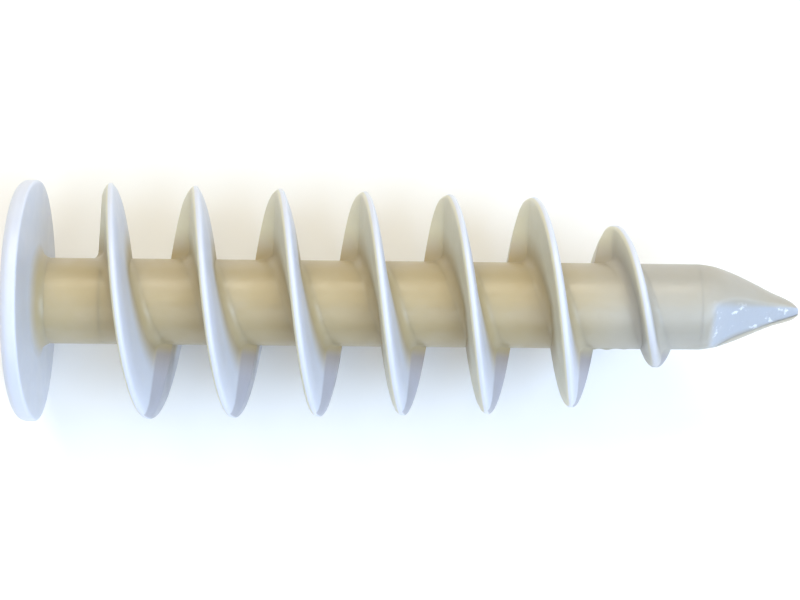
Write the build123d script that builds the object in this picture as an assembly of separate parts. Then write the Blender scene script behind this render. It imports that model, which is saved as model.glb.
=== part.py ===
"""Self-drilling wall anchor: one nylon moulding with a flange, a driver socket, a hollow shank, a single
helical flight and a drill point that is split in two.

+X runs along the axis, from the flange into the wall. The origin is the centre of the flange's seat, the
face that bears on the wall. +Z is the direction in which one mould half opens, so the plane Z = 0 is the
mould's parting plane and also the plane in which the point is split.
"""
from build123d import *
import os
from math import atan2, cos, hypot, pi, sin, sqrt

# Head and shank, in millimetres
FLANGE_R = 6.4
FLANGE_T = 1.0
FACE_ROUND = 0.5
SEAT_ROUND = 0.16
NECK_FILLET = 0.73
CORE_R = 2.27
BORE_R = 1.5
SOCKET_END_X = 3.4
SOCKET_MOUTH_R = 1.7
MOUTH_CHAMFER = 0.2
SLOT_WIDTH = 1.0
SLOT_MOUTH_R = 2.15
SLOT_END_R = 1.5
SLOT_END_X = 2.6
TIP_START_X = 34.9

# Flight: crests stand on the parting plane every half turn
PITCH = 4.48
FIRST_CREST_X = 3.65
FLIGHT_START_TURN = -0.045
STARTER_TURN = 5.5
CREST_R = 6.27
CREST_TAPER = 0.023
LEAD_START_X = 27.65
LEAD_TAPER = 0.482
LEAD_END_HEIGHT = 0.25
CREST_HALF = 0.26
CREST_SHARE = 0.4
SLOPE_TO_POINT = 0.077
SLOPE_TO_HEAD = 0.038
ROOT_FLARE = 0.35
ROOT_FLARE_HEIGHT = 0.5
MOULD_DRAFT = 0.022
RUN_OUT_TURN = 0.1
ROOT_SINK = 0.15
STATIONS_PER_HALF_TURN = 12
FLANK_POINTS = 9
FILL_STEPS = 24

# Drill point
TIP_LENGTH = 5.4
TIP_DROOP = 0.22
TIP_PROFILE = [
    (0.0, 2.27),
    (0.15, 2.17),
    (0.3, 1.92),
    (0.45, 1.59),
    (0.6, 1.22),
    (0.75, 0.86),
    (0.87, 0.63),
    (0.95, 0.43),
    (1.0, 0.2),
]
TIP_KERF = 0.04
CAVITY_LENGTH = 3.0
CAVITY_R = 1.3
FLUTE_FLOOR = [(0.04, 2.45), (0.16, 1.68), (0.30, 1.26), (0.60, 0.76), (1.02, 0.10)]

os.makedirs("parts", exist_ok=True)


def solid_of_revolution(edges):
    """Turn a closed outline in the XY plane about the X axis."""
    return revolve(make_face(edges), axis=Axis.X)


def tube(r_out, r_in, x_start, x_end):
    """A plain tube about the X axis."""
    outline = Polyline((x_start, r_in), (x_end, r_in), (x_end, r_out), (x_start, r_out), close=True)
    return solid_of_revolution(outline.edges())


def head_flange():
    """Rounded disc around the socket, with the fillet that runs out along the neck."""
    seat_r = CORE_R + NECK_FILLET
    bulge = 0.36 * NECK_FILLET
    face_corner = FLANGE_R - FACE_ROUND
    seat_corner = FLANGE_R - SEAT_ROUND
    rim_front = -FLANGE_T + FACE_ROUND
    diagonal = 1 - sqrt(0.5)
    outline = [
        Line((-FLANGE_T, CORE_R), (-FLANGE_T, face_corner)),
        ThreePointArc(
            (-FLANGE_T, face_corner),
            (-FLANGE_T + FACE_ROUND * diagonal, FLANGE_R - FACE_ROUND * diagonal),
            (rim_front, FLANGE_R),
        ),
        Line((rim_front, FLANGE_R), (-SEAT_ROUND, FLANGE_R)),
        ThreePointArc(
            (-SEAT_ROUND, FLANGE_R),
            (-SEAT_ROUND * diagonal, FLANGE_R - SEAT_ROUND * diagonal),
            (0, seat_corner),
        ),
        Line((0, seat_corner), (0, seat_r)),
        ThreePointArc((0, seat_r), (bulge, CORE_R + bulge), (NECK_FILLET, CORE_R)),
        Line((NECK_FILLET, CORE_R), (-FLANGE_T, CORE_R)),
    ]
    return solid_of_revolution(outline)


def drive_socket():
    """Head end of the shank: a tapering screw hole with four slots for a cross-point driver."""
    outline = Polyline(
        (-FLANGE_T, SOCKET_MOUTH_R + MOUTH_CHAMFER),
        (-FLANGE_T + MOUTH_CHAMFER, SOCKET_MOUTH_R),
        (SOCKET_END_X, BORE_R),
        (SOCKET_END_X, CORE_R),
        (-FLANGE_T, CORE_R),
        close=True,
    )
    body = solid_of_revolution(outline.edges())
    inner_r = BORE_R / 2
    slot_outline = Polyline(
        (-FLANGE_T, inner_r),
        (-FLANGE_T, SLOT_MOUTH_R),
        (SLOT_END_X, SLOT_END_R),
        (SLOT_END_X, inner_r),
        close=True,
    )
    slot = extrude(make_face(slot_outline), SLOT_WIDTH / 2, both=True)
    for quarter in range(4):
        body -= Rot(45 + 90 * quarter, 0, 0) * slot
    return body


def crest_radius(turn):
    """Outer radius of the flight: a slight taper, then the lead that runs down to the shank."""
    x = FIRST_CREST_X + PITCH * turn
    radius = CREST_R - CREST_TAPER * (min(x, LEAD_START_X) - FIRST_CREST_X)
    return radius - LEAD_TAPER * max(0.0, x - LEAD_START_X)


def crest_half(crest_r):
    """Half thickness of the blade's round crest, which thins out where the lead is low."""
    return min(CREST_HALF, CREST_SHARE * (crest_r - CORE_R))


def blade_half(radius, crest_r, slope):
    """Half thickness of the bare blade at a radius: a round crest, a sloping flank and a flared root."""
    half = crest_half(crest_r)
    shoulder_r = crest_r - half
    if radius >= shoulder_r:
        return sqrt(max(0.0, half**2 - (radius - shoulder_r) ** 2))
    height = max(radius, CORE_R) - CORE_R
    flare = max(0.0, 1 - height / min(ROOT_FLARE_HEIGHT, crest_r - CORE_R))
    return half + slope * (shoulder_r - CORE_R - height) + root_flare(crest_r) * flare**2


def root_flare(crest_r):
    """How far the blade's root spreads on each side, less where the lead is low."""
    return min(ROOT_FLARE, crest_r - CORE_R)


def moulded_half(radius, turn, half_turn_start, side):
    """Half thickness as moulded, on one side of the blade's mid line (side +1 faces the point).

    Each mould half is pulled straight off along Z, so whatever lies between the blade and the parting
    plane is filled: the flank is the furthest that the blade reaches at any height above this point,
    plus the draft of the fill's wall.
    """
    slope = SLOPE_TO_POINT if side > 0 else SLOPE_TO_HEAD
    angle = 2 * pi * (turn - half_turn_start)
    y = radius * cos(angle)
    z = radius * sin(angle)
    reach = blade_half(radius, crest_radius(turn), slope)
    span = sqrt(max(0.0, CREST_R**2 - y**2)) - z
    for step in range(1, FILL_STEPS + 1):
        higher_z = z + span * step / FILL_STEPS
        higher_r = hypot(y, higher_z)
        turn_change = (atan2(higher_z, y) - angle) / (2 * pi)
        higher_turn = turn + turn_change
        if FLIGHT_START_TURN <= higher_turn and higher_r < crest_radius(higher_turn):
            bare = blade_half(higher_r, crest_radius(higher_turn), slope)
            wall = side * PITCH * turn_change + bare + MOULD_DRAFT * (higher_z - z)
            reach = max(reach, wall)
    return reach


def run_out_half(radius, turn, half_turn_start, side):
    """Half thickness where the bare flank runs out to meet the fill on the far side of the parting plane."""
    half = moulded_half(radius, turn, half_turn_start, side)
    meeting_turn = half_turn_start + (0.5 if side > 0 else 0.0)
    nearness = max(0.0, 1 - abs(turn - meeting_turn) / RUN_OUT_TURN)
    if nearness == 0:
        return half
    fill = moulded_half(radius, meeting_turn, half_turn_start + 0.5 * side, side)
    return half + (fill - half) * nearness**2


def flight_section(turn, half_turn_start):
    """Closed outline of the flight in the plane through the axis at this turn.

    The round crest is the same in both mould halves, so they differ only below its shoulders.
    """
    angle = 2 * pi * turn
    root_r = CORE_R - ROOT_SINK
    crest_r = crest_radius(turn)
    shoulder_r = crest_r - crest_half(crest_r)
    mid_x = FIRST_CREST_X + PITCH * turn

    def place(offset, radius):
        return Vector(mid_x + offset, radius * cos(angle), radius * sin(angle))

    def flank(side):
        points = []
        for index in range(FLANK_POINTS - 1):
            share = index / (FLANK_POINTS - 1)
            radius = root_r + (shoulder_r - root_r) * (1 - cos(pi * share)) / 2
            points.append(place(side * run_out_half(radius, turn, half_turn_start, side), radius))
        return points + [place(side * crest_half(crest_r), shoulder_r)]

    to_point = flank(1)
    to_head = flank(-1)
    return Wire(
        [
            Edge.make_line(to_head[0], to_point[0]),
            Edge.make_spline(to_point),
            Edge.make_three_point_arc(to_point[-1], place(0, crest_r), to_head[-1]),
            Edge.make_spline(to_head[::-1]),
        ]
    )


def flight_piece(first_turn, last_turn, half_turn_start):
    """The flight between two turns that lie in one mould half."""
    count = max(3, round((last_turn - first_turn) * 2 * STATIONS_PER_HALF_TURN) + 1)
    step = (last_turn - first_turn) / (count - 1)
    sections = [flight_section(first_turn + step * index, half_turn_start) for index in range(count)]
    return Solid.make_loft(sections)


def flight(first_turn, last_turn):
    """The flight between two turns, one mould half after the other, cut back to the shank's surface."""
    body = None
    start = first_turn
    while start < last_turn - 1e-6:
        half_turn_start = 0.5 * ((start + 1e-6) // 0.5)
        end = min(last_turn, half_turn_start + 0.5)
        piece = flight_piece(start, end, half_turn_start)
        body = piece if body is None else body.fuse(piece)
        start = end
    return body.cut(tube(CORE_R, 0.01, -FLANGE_T, TIP_START_X + TIP_LENGTH).solid())


def flight_end_turn():
    """Turn at which the lead has come down to its last low step."""
    x = LEAD_START_X
    height = CREST_R - CREST_TAPER * (LEAD_START_X - FIRST_CREST_X) - CORE_R
    x += (height - LEAD_END_HEIGHT) / LEAD_TAPER
    return (x - FIRST_CREST_X) / PITCH


def drill_point():
    """Whole point before it is split: round sections on a line that droops a little towards -Y."""
    sections = []
    for share, radius in TIP_PROFILE:
        centre = (TIP_START_X + TIP_LENGTH * share, -TIP_DROOP * share**3, 0)
        sections.append(Wire.make_circle(radius, Plane(origin=centre, z_dir=(1, 0, 0))))
    point = Solid.make_loft(sections)
    end_x = TIP_START_X + CAVITY_LENGTH
    cavity_outline = Polyline((TIP_START_X, 0), (end_x, 0), (TIP_START_X, CAVITY_R), close=True)
    return point.cut(solid_of_revolution(cavity_outline.edges()).solid())


def tip_half(side):
    """Half of the drill point on one side (+1 or -1) of the parting plane, with its cutting flute."""
    reach = 2 * CORE_R
    floor = [(TIP_START_X + TIP_LENGTH * share, height) for share, height in FLUTE_FLOOR]
    flute_outline = [
        Spline(*floor),
        Polyline(floor[-1], (floor[-1][0], reach), (floor[0][0], reach), floor[0]),
    ]
    flute = extrude(make_face(flute_outline), reach, both=True)
    cutter = Rot(135 if side > 0 else -45, 0, 0) * flute
    keep = Pos(TIP_START_X + TIP_LENGTH / 2, 0, side * (reach + TIP_KERF) / 2) * Box(
        TIP_LENGTH * 2, 2 * reach, reach
    )
    return (drill_point() & keep) - cutter


NODES = {
    "head_flange": head_flange(),
    "drive_socket": drive_socket(),
    "shank_sleeve": tube(CORE_R, BORE_R, SOCKET_END_X, TIP_START_X),
    "thread_flight": flight(FLIGHT_START_TURN, STARTER_TURN),
    "starter_flight": flight(STARTER_TURN, flight_end_turn()),
    "tip_half_upper": tip_half(1),
    "tip_half_lower": tip_half(-1),
}
for name, shape in NODES.items():
    export_step(shape, f"parts/{name}.step")
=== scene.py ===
from math import cos, pi, radians, sin, tau

import bmesh
import bpy
import numpy as np
from mathutils import Matrix, Vector


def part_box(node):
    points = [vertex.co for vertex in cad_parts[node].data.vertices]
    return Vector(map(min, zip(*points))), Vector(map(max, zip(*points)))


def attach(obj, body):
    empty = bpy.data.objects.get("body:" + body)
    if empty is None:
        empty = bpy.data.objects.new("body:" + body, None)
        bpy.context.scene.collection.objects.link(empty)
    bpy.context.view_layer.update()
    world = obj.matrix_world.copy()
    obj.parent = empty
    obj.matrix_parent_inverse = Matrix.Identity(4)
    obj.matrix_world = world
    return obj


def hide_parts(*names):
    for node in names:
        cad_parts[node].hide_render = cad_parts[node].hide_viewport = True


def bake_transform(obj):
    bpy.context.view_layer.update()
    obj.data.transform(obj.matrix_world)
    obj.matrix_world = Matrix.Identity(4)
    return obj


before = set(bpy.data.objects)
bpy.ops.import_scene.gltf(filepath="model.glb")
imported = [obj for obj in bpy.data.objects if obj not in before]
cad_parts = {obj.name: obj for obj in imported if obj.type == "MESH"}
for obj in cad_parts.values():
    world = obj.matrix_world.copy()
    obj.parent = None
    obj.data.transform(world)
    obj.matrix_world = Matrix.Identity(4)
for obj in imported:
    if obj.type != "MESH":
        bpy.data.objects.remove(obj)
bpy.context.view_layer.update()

MM = 0.001

# The moulding, in millimetres; the sizes that the CAD parts in model.glb can give come from them
sleeve_low, sleeve_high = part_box("shank_sleeve")
flange_low, flange_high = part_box("head_flange")
tip_low, tip_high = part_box("tip_half_upper")
CORE_R = sleeve_high.z / MM
TIP_START_X = sleeve_high.x / MM
TIP_END_X = tip_high.x / MM
SOCKET_END_X = sleeve_low.x / MM
FLANGE_R = flange_high.z / MM
FLANGE_T = -flange_low.x / MM
FLOOR_Z = flange_low.z / MM
TIP_KERF = 2 * tip_low.z / MM
BORE_R = 1.5
FACE_ROUND = 0.5
SEAT_ROUND = 0.16
NECK_FILLET = 0.73
SOCKET_MOUTH_R = 1.7
SLOT_WIDTH = 1.0
SLOT_MOUTH_R = 2.15
SLOT_END_R = 1.5
SLOT_END_X = 2.6
PITCH = 4.48
FIRST_CREST_X = 3.65
FLIGHT_START_TURN = -0.045
STARTER_TURN = 5.5
CREST_R = 6.27
CREST_TAPER = 0.023
LEAD_START_X = 27.65
LEAD_TAPER = 0.482
LEAD_END_HEIGHT = 0.06
CREST_HALF = 0.26
CREST_SHARE = 0.4
FILLET_SHARE = 0.5
ROUNDING_TO_POINT = 0.8
SLOPE_TO_POINT = 0.077
SLOPE_TO_HEAD = 0.038
ROOT_FILLET = 0.48
MOULD_DRAFT = 0.022
RUN_OUT_TURN = 0.03
WITNESS_HEIGHT = 0.010
WITNESS_WIDTH = 0.035
RIM_SET_BACK = 0.016
FLIGHT_SINK = 0.3

# Slots' chamfer at the face of the head, as depth and opening; flash, as x, width and height
SLOT_CHAMFERS = ((0.06, 0.025), (0.0, 0.09))
FLASH = ((29.4, 0.15, 0.05), (30.1, 0.25, 0.07), (31.0, 0.2, 0.03))

# How finely the pieces are meshed
ROUND = 256
RINGS_PER_HALF_TURN = 64
FILL_STEPS = 96


# ---------------------------------------------------------------- mesh building

def smooth_by_angle(mesh, limit=radians(35)):
    """Smooth shading everywhere except across the edges that turn by more than the limit."""
    bm = bmesh.new()
    bm.from_mesh(mesh)
    bmesh.ops.remove_doubles(bm, verts=bm.verts, dist=1e-7)
    bmesh.ops.dissolve_degenerate(bm, edges=bm.edges, dist=1e-7)
    bmesh.ops.recalc_face_normals(bm, faces=bm.faces)
    for face in bm.faces:
        face.smooth = True
    for edge in bm.edges:
        edge.smooth = not edge.is_manifold or edge.calc_face_angle(0.0) < limit
    bm.to_mesh(mesh)
    bm.free()


def tube_piece(name, rings, material, closed_path=False):
    """A closed skin over rings of points (in millimetres), capped at both ends or joined to itself."""
    rings = np.asarray(rings, float) * MM
    count, around = rings.shape[:2]
    index = np.arange(count * around).reshape(count, around)
    if closed_path:
        index = np.vstack([index, index[:1]])
    a = index[:-1, :]
    b = np.roll(index, -1, axis=1)[:-1, :]
    c = np.roll(index, -1, axis=1)[1:, :]
    d = index[1:, :]
    faces = np.stack([a, b, c, d], axis=-1).reshape(-1, 4).tolist()
    if not closed_path:
        faces.append(index[0].tolist())
        faces.append(index[-1][::-1].tolist())
    mesh = bpy.data.meshes.new(name)
    mesh.from_pydata(rings.reshape(-1, 3).tolist(), [], faces)
    smooth_by_angle(mesh)
    mesh.materials.append(material)
    piece = bpy.data.objects.new(name, mesh)
    bpy.context.scene.collection.objects.link(piece)
    return piece


def azimuths():
    """Angles about X, from +Y towards +Z, that crowd together at the parting plane."""
    even = np.arange(ROUND) * tau / ROUND
    return even - 0.45 * np.sin(2 * even)


def ring_at(x, radius, azimuth):
    """Ring of points at a station x, with a radius that may differ from angle to angle."""
    x = np.broadcast_to(x, azimuth.shape)
    radius = np.broadcast_to(radius, azimuth.shape)
    return np.stack([x, radius * np.cos(azimuth), radius * np.sin(azimuth)], axis=-1)


def arc(centre, radius, start, end, count):
    """Points along an arc in the (x, radius) plane, angles in degrees."""
    angles = np.radians(np.linspace(start, end, count))
    return [(centre[0] + radius * cos(a), centre[1] + radius * sin(a)) for a in angles]


def line(start, end, count):
    """Evenly spaced points from start up to, but not including, end."""
    share = np.arange(count) / count
    return [(start[0] + (end[0] - start[0]) * s, start[1] + (end[1] - start[1]) * s) for s in share]


def witness_line(along, off, peaks):
    """Height of the line that the two mould halves leave, at a distance off the parting plane."""
    uneven = WITNESS_HEIGHT + 0.4 * WITNESS_HEIGHT * np.sin(2.1 * along) * np.sin(0.77 * along + 1.3)
    for centre, width, height in peaks:
        uneven = uneven + height * np.exp(-(((along - centre) / width) ** 2))
    return uneven * np.exp(-((off / WITNESS_WIDTH) ** 2))


# ---------------------------------------------------------------- head and shank

def flange_piece(material):
    """Disc with a domed rim and a neck fillet, and a seat that leans back by the mould's draft."""
    outline = np.array(
        line((-FLANGE_T, CORE_R), (-FLANGE_T, FLANGE_R - FACE_ROUND), 24)
        + arc((-FLANGE_T + FACE_ROUND, FLANGE_R - FACE_ROUND), FACE_ROUND, 180, 90, 14)
        + arc((-SEAT_ROUND, FLANGE_R - SEAT_ROUND), SEAT_ROUND, 90, 0, 8)
        + line((0, FLANGE_R - SEAT_ROUND), (0, CORE_R + NECK_FILLET), 24)[1:]
        + arc((NECK_FILLET, CORE_R + NECK_FILLET), NECK_FILLET, 180, 270, 16)
        + line((NECK_FILLET, CORE_R - 0.02), (-FLANGE_T, CORE_R - 0.02), 8)
    )
    azimuth = azimuths()[:, None]
    x = outline[None, :, 0]
    r = outline[None, :, 1]
    z = r * np.sin(azimuth)
    on_rim = np.clip((r - FLANGE_R + 0.3) / 0.3, 0, 1) * np.clip((x + FLANGE_T) / FLANGE_T, 0, 1)
    r = r - RIM_SET_BACK + on_rim * witness_line(6 * x + azimuth, z, ())
    z = r * np.sin(azimuth)
    on_seat = np.clip((x + FLANGE_T / 2) / (FLANGE_T / 2), 0, 1)
    clear_of_neck = np.clip((r - CORE_R) / NECK_FILLET, 0, 1)
    x = x - MOULD_DRAFT * np.abs(z) * on_seat * clear_of_neck
    rings = np.stack(np.broadcast_arrays(x, r * np.cos(azimuth), z), axis=-1)
    return tube_piece("head_flange_skin", rings, material, closed_path=True)


def socket_piece(material):
    """Head end of the shank, with the four tapering slots of the driver recess."""
    azimuth = np.arange(ROUND * 2) * tau / (ROUND * 2)
    off_slot = azimuth % (pi / 2) - pi / 4

    def recess(x, chamfer):
        along_slot = np.clip((x + FLANGE_T) / (SLOT_END_X + FLANGE_T), 0, 1)
        along_hole = (x + FLANGE_T) / (SOCKET_END_X + FLANGE_T)
        depth = SLOT_MOUTH_R + (SLOT_END_R - SLOT_MOUTH_R) * along_slot
        hole = SOCKET_MOUTH_R + (BORE_R - SOCKET_MOUTH_R) * along_hole
        side = (SLOT_WIDTH / 2 + chamfer) / np.maximum(np.abs(np.sin(off_slot)), 1e-6)
        slot = np.minimum(side, (depth + chamfer * 0.4) / np.cos(off_slot))
        return np.maximum(hole + chamfer, slot)

    outside = np.linspace(-FLANGE_T, SOCKET_END_X, 30)
    inside = np.linspace(SOCKET_END_X, -FLANGE_T + 0.12, 40)
    rings = [ring_at(x, CORE_R, azimuth) for x in outside]
    rings += [ring_at(x, recess(x, 0.0), azimuth) for x in inside]
    for depth, chamfer in SLOT_CHAMFERS:
        rings.append(ring_at(-FLANGE_T + depth, recess(-FLANGE_T, chamfer), azimuth))
    return tube_piece("drive_socket_skin", np.array(rings), material, closed_path=True)


def sleeve_piece(material):
    """Hollow shank, with its parting line, which has a little flash left on it ahead of the lead."""
    azimuth = azimuths()
    off_plane = CORE_R * np.sin(azimuth)
    lower_side = np.cos(azimuth) < 0
    x_values = np.linspace(SOCKET_END_X, TIP_START_X, 320)
    rings = []
    for x in x_values:
        witness = np.where(lower_side, witness_line(x, off_plane, FLASH), witness_line(x, off_plane, ()))
        rings.append(ring_at(x, CORE_R + witness, azimuth))
    rings += [ring_at(x, BORE_R, azimuth) for x in x_values[::-8]]
    return tube_piece("shank_sleeve_skin", np.array(rings), material, closed_path=True)


# ---------------------------------------------------------------- flight

def crest_radius(turn):
    """Outer radius of the flight: a slight taper, then the lead that runs down to the shank."""
    x = FIRST_CREST_X + PITCH * turn
    radius = CREST_R - CREST_TAPER * (np.minimum(x, LEAD_START_X) - FIRST_CREST_X)
    return radius - LEAD_TAPER * np.maximum(0.0, x - LEAD_START_X)


def blade_half(radius, crest_r, side):
    """Half thickness of the bare blade: round crest, sloping flank and a fillet tangent to the shank."""
    slope = SLOPE_TO_POINT if side > 0 else SLOPE_TO_HEAD
    height = np.maximum(crest_r - CORE_R, 1e-3)
    crest = np.minimum(CREST_HALF, CREST_SHARE * height)
    rounding = np.minimum(ROUNDING_TO_POINT if side > 0 else CREST_HALF, CREST_SHARE * height)
    fillet = np.minimum(ROOT_FILLET, FILLET_SHARE * height)
    shoulder = crest_r - rounding
    over = np.clip((radius - shoulder) / rounding, 0, 1)
    rounded = crest * np.sqrt(1 - over**2)
    rise = np.clip(1 - (radius - CORE_R) / fillet, 0, 1)
    root = fillet * (1 - np.sqrt(1 - rise**2))
    return rounded + slope * np.maximum(crest_r - crest - np.maximum(radius, CORE_R), 0.0) + root


def moulded_half(radius, turn, half_turn_start, side):
    """Half thickness as moulded on one side, with what a mould half fills below the blade."""
    angle = tau * (turn - half_turn_start)
    y = radius * np.cos(angle)
    z = radius * np.sin(angle)
    reach = blade_half(radius, crest_radius(turn), side)
    span = np.sqrt(np.maximum(0.0, CREST_R**2 - y**2)) - z
    for step in range(1, FILL_STEPS + 1):
        higher_z = z + span * step / FILL_STEPS
        higher_r = np.hypot(y, higher_z)
        turn_change = (np.arctan2(higher_z, y) - angle) / tau
        higher_turn = turn + turn_change
        crest_r = crest_radius(higher_turn)
        inside = (higher_turn >= FLIGHT_START_TURN) & (higher_r < crest_r)
        draft = MOULD_DRAFT * (higher_z - z)
        found = side * PITCH * turn_change + blade_half(higher_r, crest_r, side) + draft
        reach = np.where(inside, np.maximum(reach, found), reach)
    return reach


def run_out_half(radius, turn, half_turn_start, side):
    """Half thickness where the bare flank runs out to meet the fill beyond the parting plane."""
    half = moulded_half(radius, turn, half_turn_start, side)
    meeting_turn = half_turn_start + (0.5 if side > 0 else 0.0)
    nearness = np.maximum(0.0, 1 - np.abs(turn - meeting_turn) / RUN_OUT_TURN)
    at_plane = np.full_like(turn, meeting_turn)
    fill = moulded_half(radius, at_plane, half_turn_start + 0.5 * side, side)
    return half + (fill - half) * nearness


def flight_rings(first_turn, last_turn, half_turn_start):
    """Closed sections of the flight between two turns that lie in one mould half."""
    count = max(4, round((last_turn - first_turn) * 2 * RINGS_PER_HALF_TURN))
    turn = np.linspace(first_turn, last_turn, count)[:, None]
    crest_r = crest_radius(turn)
    height = crest_r - CORE_R
    fillet = np.minimum(ROOT_FILLET, FILLET_SHARE * height)
    crest = np.minimum(CREST_HALF, CREST_SHARE * height)
    share = np.linspace(0, 1, 11)[None, :]
    low = CORE_R + fillet * (1 - np.cos(share * pi / 2))
    middle = CORE_R + fillet + (height - fillet - crest) * share[:, 1:-1]
    high = crest_r - crest + crest * np.sin(share * pi / 2)
    radius = np.hstack([low, middle, high])
    angle = tau * turn
    mid_x = FIRST_CREST_X + PITCH * turn
    sides = []
    for side in (1, -1):
        half = run_out_half(radius, turn, half_turn_start, side)
        half[:, -1] = 0.0
        x = mid_x + side * half
        foot = np.stack([x[:, :1], np.full_like(x[:, :1], CORE_R - FLIGHT_SINK)], -1)
        flank = np.stack([x, radius], -1)
        sides.append(np.concatenate([foot, flank], axis=1))
    outline = np.concatenate([sides[0], sides[1][:, -2::-1]], axis=1)
    x, r = outline[..., 0], outline[..., 1]
    return np.stack([x, r * np.cos(angle), r * np.sin(angle)], axis=-1)


def flight_piece(name, first_turn, last_turn, material):
    """The flight between two turns; where it crosses the parting plane, the two halves meet in a step."""
    rings = []
    start = first_turn
    while start < last_turn - 1e-6:
        half_turn_start = 0.5 * ((start + 1e-6) // 0.5)
        end = min(last_turn, half_turn_start + 0.5)
        rings.append(flight_rings(start, end, half_turn_start))
        start = end
    return tube_piece(name, np.concatenate(rings), material)


def flight_end_turn():
    """Turn at which the lead has run down to a low step on the shank."""
    height = CREST_R - CREST_TAPER * (LEAD_START_X - FIRST_CREST_X) - CORE_R
    x = LEAD_START_X + (height - LEAD_END_HEIGHT) / LEAD_TAPER
    return (x - FIRST_CREST_X) / PITCH


# ---------------------------------------------------------------- drill point

TIP_LENGTH = TIP_END_X - TIP_START_X
TIP_DROOP = 0.22
TIP_PROFILE = [
    (0.0, 2.27),
    (0.15, 2.17),
    (0.3, 1.92),
    (0.45, 1.59),
    (0.6, 1.22),
    (0.75, 0.86),
    (0.87, 0.63),
    (0.95, 0.43),
    (1.0, 0.2),
]
FLUTE_FLOOR = [(0.04, 2.45), (0.16, 1.68), (0.30, 1.26), (0.60, 0.76), (1.02, 0.10)]
CAVITY_LENGTH = 3.0
CAVITY_R = 1.3
SPIGOT_LENGTH = 0.3
SPIGOT_R = CORE_R - 0.05
FLUTE_EDGE_ROUND = 0.09
FAR_OUT = 99.0


def smooth_curve(points, at):
    """Monotone cubic through the points, so that an outline given by a few points has no kinks."""
    xs = np.array([p[0] for p in points], float)
    ys = np.array([p[1] for p in points], float)
    width = np.diff(xs)
    slope = np.diff(ys) / width
    tangent = np.zeros_like(xs)
    for i in range(1, len(xs) - 1):
        if slope[i - 1] * slope[i] > 0:
            before = 2 * width[i] + width[i - 1]
            after = width[i] + 2 * width[i - 1]
            tangent[i] = (before + after) / (before / slope[i - 1] + after / slope[i])
    tangent[-1] = slope[-1]
    i = np.clip(np.searchsorted(xs, at) - 1, 0, len(width) - 1)
    t = (at - xs[i]) / width[i]
    return (
        ys[i] * (2 * t**3 - 3 * t**2 + 1) + width[i] * tangent[i] * (t**3 - 2 * t**2 + t)
        + ys[i + 1] * (3 * t**2 - 2 * t**3) + width[i] * tangent[i + 1] * (t**3 - t**2)
    )


def tip_piece(name, side, material):
    """One half of the point: outer skin with its flute, flat parting face and the hollow inside."""
    spigot = np.array([-SPIGOT_LENGTH, -0.001]) / TIP_LENGTH
    share = np.concatenate([spigot, np.linspace(0, 0.9, 72), np.linspace(0.9, 1, 16)[1:]])
    outer_az = np.linspace(0, pi, 120)
    inner_az = np.linspace(pi, 0, 40)
    facing = np.cos(outer_az - radians(135))
    rings = []
    for s in share:
        ogive = smooth_curve(TIP_PROFILE, s) if s >= 0 else SPIGOT_R
        floor = smooth_curve(FLUTE_FLOOR, s) if s > FLUTE_FLOOR[0][0] else FAR_OUT
        flute = np.where(facing > 0.05, floor / np.maximum(facing, 0.05), FAR_OUT)
        softness = np.log1p(np.exp(-np.abs(flute - ogive) / FLUTE_EDGE_ROUND))
        radius = np.maximum(np.minimum(flute, ogive) - FLUTE_EDGE_ROUND * softness, 0.02)
        hollow = np.clip(CAVITY_R * (1 - TIP_LENGTH * s / CAVITY_LENGTH), 0.012, CAVITY_R)
        y = np.concatenate([radius * np.cos(outer_az), hollow * np.cos(inner_az)])
        z = np.concatenate([radius * np.sin(outer_az), hollow * np.sin(inner_az)])
        x = np.full_like(y, TIP_START_X + TIP_LENGTH * s)
        droop = TIP_DROOP * max(s, 0.0) ** 3
        rings.append(np.stack([x, side * y - droop, side * np.maximum(z, TIP_KERF / 2)], axis=-1))
    return tube_piece(name, np.array(rings), material)


# ---------------------------------------------------------------- materials

TAN = (0.445, 0.37, 0.225, 1)
GREY = (0.43, 0.41, 0.36, 1)
WHITE = (0.65, 0.69, 0.80, 1)
# Painted warm light: ivory on the flanks that face the head
PAINTED_WARM_IVORY = (0.68, 0.66, 0.52, 1)
# Painted light: the pale blue of the cool light on the flutes of the point
PAINTED_COOL_LIGHT_BLUE = (0.46, 0.50, 0.57, 1)
# Painted highlight: white glints in the flutes
PAINTED_GLINT_WHITE = (0.78, 0.82, 0.88, 1)
SPECK_BROWN = (0.36, 0.32, 0.27, 1)
TORN_HEIGHT = 1.5
FACET_EDGE = sin(tau * RUN_OUT_TURN)
# Painted shade on the lower facets past the crease
PAINTED_SHADE_GREY = (0.29, 0.285, 0.34, 1)


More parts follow.
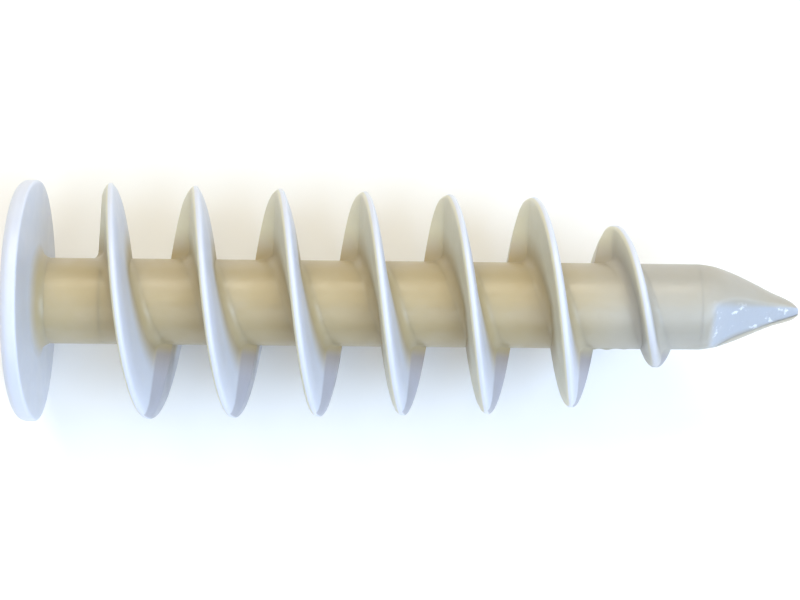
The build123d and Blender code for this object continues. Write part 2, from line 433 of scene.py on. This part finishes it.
class Nodes:
    """Short names for the shader nodes that the materials are made of."""

    def __init__(self, name):
        self.material = bpy.data.materials.new(name)
        self.material.use_nodes = True
        self.tree = self.material.node_tree
        self.shader = self.tree.nodes["Principled BSDF"]

    def put(self, kind, **sockets):
        node = self.tree.nodes.new(kind)
        for key, value in sockets.items():
            self.connect(value, node.inputs[key.replace("_", " ")])
        return node

    def connect(self, value, socket):
        if isinstance(value, bpy.types.NodeSocket):
            self.tree.links.new(value, socket)
        else:
            socket.default_value = value

    def math(self, operation, a, b=0.0):
        node = self.tree.nodes.new("ShaderNodeMath")
        node.operation = operation
        self.connect(a, node.inputs[0])
        self.connect(b, node.inputs[1])
        return node.outputs[0]

    def ramp(self, value, low, high, to_low=0.0, to_high=1.0, kind="SMOOTHSTEP"):
        node = self.tree.nodes.new("ShaderNodeMapRange")
        node.interpolation_type = kind
        for socket, item in zip(node.inputs, (value, low, high, to_low, to_high)):
            self.connect(item, socket)
        return node.outputs[0]

    def mix(self, factor, a, b, blend="MIX"):
        node = self.tree.nodes.new("ShaderNodeMix")
        node.data_type = "RGBA"
        node.blend_type = blend
        self.connect(factor, node.inputs[0])
        self.connect(a, node.inputs[6])
        self.connect(b, node.inputs[7])
        return node.outputs[2]

    def noise(self, vector, scale, detail=2.0, roughness=0.5):
        node = self.put("ShaderNodeTexNoise", Vector=vector, Scale=scale, Detail=detail)
        self.connect(roughness, node.inputs["Roughness"])
        return node.outputs["Fac"]

    def product(self, *factors):
        result = factors[0]
        for factor in factors[1:]:
            result = self.math("MULTIPLY", result, factor)
        return result


class Nylon(Nodes):
    """A material that knows its place, its distance from the axis and how far it faces +X."""

    def __init__(self, name):
        super().__init__(name)
        coordinates = self.put("ShaderNodeTexCoord")
        self.place = coordinates.outputs["Object"]
        self.x, self.y, self.z = self.put("ShaderNodeSeparateXYZ", Vector=self.place).outputs
        squares = self.math("ADD", self.product(self.y, self.y), self.product(self.z, self.z))
        self.from_axis = self.math("SQRT", squares)
        self.facing = self.put("ShaderNodeSeparateXYZ", Vector=coordinates.outputs["Normal"]).outputs[0]

    def ramp_mm(self, value, low, high, to_low=0.0, to_high=1.0):
        return self.ramp(value, low * MM, high * MM, to_low, to_high)

    def body_colour(self):
        """Tan where it is thick, greyer towards the point, white where it is not thick, with painted warm
        light in ivory on the flanks that face the head, and cloudy.
        """
        clouds = self.ramp(self.noise(self.place, 320.0, 3.0), 0.3, 0.7, -0.06, 0.06, "LINEAR")
        blade = self.ramp_mm(self.from_axis, CORE_R * 1.05, CORE_R * 1.85)
        beside_neck = self.ramp_mm(self.from_axis, CORE_R * 1.02, CORE_R * 1.4)
        disc = self.product(beside_neck, self.ramp_mm(self.x, 0.5, 0.1))
        face = self.ramp_mm(self.x, -0.3, -0.9, 0.0, 0.7)
        thinness = self.math("MAXIMUM", self.math("MAXIMUM", blade, disc), face)
        # Painted warm light: the flanks that face the head turn ivory where they would be white
        painted_warm_side = self.product(self.ramp(self.facing, -0.4, -0.7), self.ramp_mm(self.x, 0.5, 1.5))
        thick = self.mix(self.ramp_mm(self.x, 26.5, 32.5), TAN, GREY)
        thin_white_or_painted_warm = self.mix(painted_warm_side, WHITE, PAINTED_WARM_IVORY)
        return self.mix(self.math("ADD", thinness, clouds), thick, thin_white_or_painted_warm)

    def painted_shade_on_filled_facets(self, colour):
        """Painted shade: greyer on the lower flanks that face the point, from the crease at the parting
        plane on, over the mould's fill below the blade.
        """
        above_plane = self.math("DIVIDE", self.z, self.from_axis)
        # Painted shade: the lower facets past the crease that face the point are greyer
        painted_shade_mask = self.product(
            self.ramp(above_plane, FACET_EDGE - 0.03, FACET_EDGE + 0.02, 0.7, 0.0),
            self.ramp(above_plane, -0.9, -0.5),
            self.ramp_mm(self.y, -CORE_R, -1.3 * CORE_R),
            self.ramp_mm(self.x, 1.0, 2.0),
            self.ramp(self.facing, 0.3, 0.6),
        )
        return self.mix(painted_shade_mask, colour, PAINTED_SHADE_GREY)

    def flute_painted_light_and_rough_bump(self, colour, height):
        """In the flutes of the point: painted pale-blue light, painted white glints where the noise is
        high, and the rough bump of ripped plastic.
        """
        across = self.math("ABSOLUTE", self.math("SUBTRACT", self.z, self.y))
        towards_flute = self.ramp(self.math("DIVIDE", across, self.from_axis), 0.92, 1.2)
        in_flute = self.product(towards_flute, self.ramp_mm(self.x, TIP_START_X + 0.3, TIP_START_X + 0.9))
        rough_bump_and_glint_noise = self.noise(self.place, 1700.0, 5.0, 0.65)
        # Painted light: the flutes turn pale blue
        colour = self.mix(in_flute, colour, PAINTED_COOL_LIGHT_BLUE)
        # Painted highlight: white glints where the noise is high; the same noise also roughens the bump
        colour = self.mix(self.product(self.ramp(rough_bump_and_glint_noise, 0.56, 0.66), in_flute), colour, PAINTED_GLINT_WHITE)
        return colour, self.math("ADD", height, self.product(rough_bump_and_glint_noise, in_flute, TORN_HEIGHT))


def nylon(name, fluted=False):
    """Natural nylon: its colour by thickness, with specks, fine grain, ripple and uneven gloss, painted
    warm light on the flanks that face the head and painted shade on the lower facets; when fluted, painted
    light and glints in the flutes.
    """
    n = Nylon(name)
    specks = n.ramp(n.noise(n.place, 2600.0, 1.0), 0.80, 0.84, 0.0, 0.25)
    colour = n.mix(specks, n.painted_shade_on_filled_facets(n.body_colour()), SPECK_BROWN)
    grain = n.product(n.noise(n.place, 5200.0, 3.0, 0.6), 0.25)
    height = n.math("ADD", n.noise(n.place, 650.0, 2.0), grain)
    gloss = n.ramp(n.noise(n.place, 900.0, 4.0), 0.3, 0.7, 0.30, 0.46, "LINEAR")
    if fluted:
        colour, height = n.flute_painted_light_and_rough_bump(colour, height)
    n.connect(colour, n.shader.inputs["Base Color"])
    n.connect(gloss, n.shader.inputs["Roughness"])
    bump = n.put("ShaderNodeBump", Height=height, Strength=0.5, Distance=0.00008)
    n.connect(bump.outputs["Normal"], n.shader.inputs["Normal"])
    n.shader.inputs["IOR"].default_value = 1.53
    n.shader.inputs["Subsurface Weight"].default_value = 0.4
    n.shader.inputs["Subsurface Radius"].default_value = (1.0, 0.9, 0.75)
    n.shader.inputs["Subsurface Scale"].default_value = 0.0006
    return n.material


# ---------------------------------------------------------------- pieces on their bodies

def place_pieces():
    """Every piece stands for its CAD node: the rigid ones ride on the moulding, the tips are baked in
    place.
    """
    material = nylon("natural_nylon")
    tip_material = nylon("tip_nylon", fluted=True)
    rigid = {
        "head_flange": flange_piece(material),
        "drive_socket": socket_piece(material),
        "shank_sleeve": sleeve_piece(material),
        "thread_flight": flight_piece("thread_flight_skin", FLIGHT_START_TURN, STARTER_TURN, material),
        "starter_flight": flight_piece("starter_flight_skin", STARTER_TURN, flight_end_turn(), material),
    }
    tips = {
        "tip_half_upper": (tip_piece("tip_half_upper_skin", 1, tip_material), "tip_upper"),
        "tip_half_lower": (tip_piece("tip_half_lower_skin", -1, tip_material), "tip_lower"),
    }
    for node, piece in rigid.items():
        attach(piece, "moulding")
        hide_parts(node)
    for node, (piece, body) in tips.items():
        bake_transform(piece)
        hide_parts(node)


# ---------------------------------------------------------------- stage, light and camera

FLOOR_HALF = 1.5
FLOOR_GAP = 0.01
LIGHTS_CENTRE = np.array([19.5, 0.0, 0.0]) * MM
CAMERA_TILT = radians(7.4)
CAMERA_YAW = radians(0.68)
CAMERA_ROLL = radians(0.57)
CAMERA_DISTANCE = 105.2
CAMERA_AIM = (19.116, 0.212, 0)


def floor():
    """Plain pale floor that the anchor lies on."""
    n = Nodes("pale_floor")
    place = n.put("ShaderNodeTexCoord").outputs["Object"]
    colour = n.mix(n.noise(place, 40.0, 2.0), (0.93, 0.93, 0.93, 1), (0.95, 0.95, 0.95, 1))
    n.connect(colour, n.shader.inputs["Base Color"])
    n.shader.inputs["Roughness"].default_value = 0.9
    mesh = bpy.data.meshes.new("floor")
    z = (FLOOR_Z - FLOOR_GAP) * MM
    corners = [(x * FLOOR_HALF, y * FLOOR_HALF, z) for x, y in ((-1, -1), (1, -1), (1, 1), (-1, 1))]
    mesh.from_pydata(corners, [], [(0, 1, 2, 3)])
    mesh.materials.append(n.material)
    plane = bpy.data.objects.new("floor", mesh)
    bpy.context.scene.collection.objects.link(plane)


def softbox(name, azimuth, elevation, distance, size, power, colour):
    """Area light on a sphere round the anchor, facing its middle; azimuth is from +X towards +Y."""
    light = bpy.data.lights.new(name, "AREA")
    light.shape = "RECTANGLE"
    light.size, light.size_y = size
    light.energy = power
    light.color = colour
    lamp = bpy.data.objects.new(name, light)
    a, e = radians(azimuth), radians(elevation)
    direction = np.array([cos(e) * cos(a), cos(e) * sin(a), sin(e)])
    lamp.location = LIGHTS_CENTRE + distance * direction
    lamp.rotation_euler = Vector(direction).to_track_quat("Z", "Y").to_euler()
    bpy.context.scene.collection.objects.link(lamp)


def lights():
    """Cool softboxes to the right and ahead, warm ones behind and overhead, and an even sky."""
    softbox("cool_right", -35, 52, 0.5, (0.4, 0.3), 2.1, (0.57, 0.75, 1.0))
    softbox("cool_front", -110, 50, 0.5, (0.45, 0.3), 0.65, (0.80, 0.90, 1.0))
    softbox("warm_back", 95, 50, 0.5, (0.4, 0.2), 1.25, (1.0, 0.91, 0.72))
    softbox("warm_top", 90, 84, 0.5, (0.35, 0.25), 0.65, (1.0, 0.90, 0.66))
    world = bpy.data.worlds.new("studio")
    bpy.context.scene.world = world
    world.use_nodes = True
    sky = world.node_tree.nodes["Background"]
    sky.inputs["Color"].default_value = (0.96, 0.97, 1.0, 1)
    sky.inputs["Strength"].default_value = 0.31


def camera():
    """Above the anchor and a little in front of it, turned slightly about all three axes."""
    data = bpy.data.cameras.new("camera")
    data.sensor_width = 36.0
    data.lens = 89.1
    data.clip_start = 0.005
    data.clip_end = 10.0
    viewer = bpy.data.objects.new("camera", data)
    viewer.rotation_mode = "ZYX"
    viewer.rotation_euler = (CAMERA_TILT, -CAMERA_YAW, CAMERA_ROLL)
    tilted = Matrix.Rotation(CAMERA_TILT, 4, "X")
    back = tilted @ Matrix.Rotation(-CAMERA_YAW, 4, "Y") @ Vector((0, 0, 1))
    viewer.location = tilted @ (Vector(CAMERA_AIM) * MM) + back * CAMERA_DISTANCE * MM
    bpy.context.scene.collection.objects.link(viewer)
    bpy.context.scene.camera = viewer


place_pieces()
floor()
lights()
camera()
bpy.context.scene.view_settings.view_transform = "Standard"
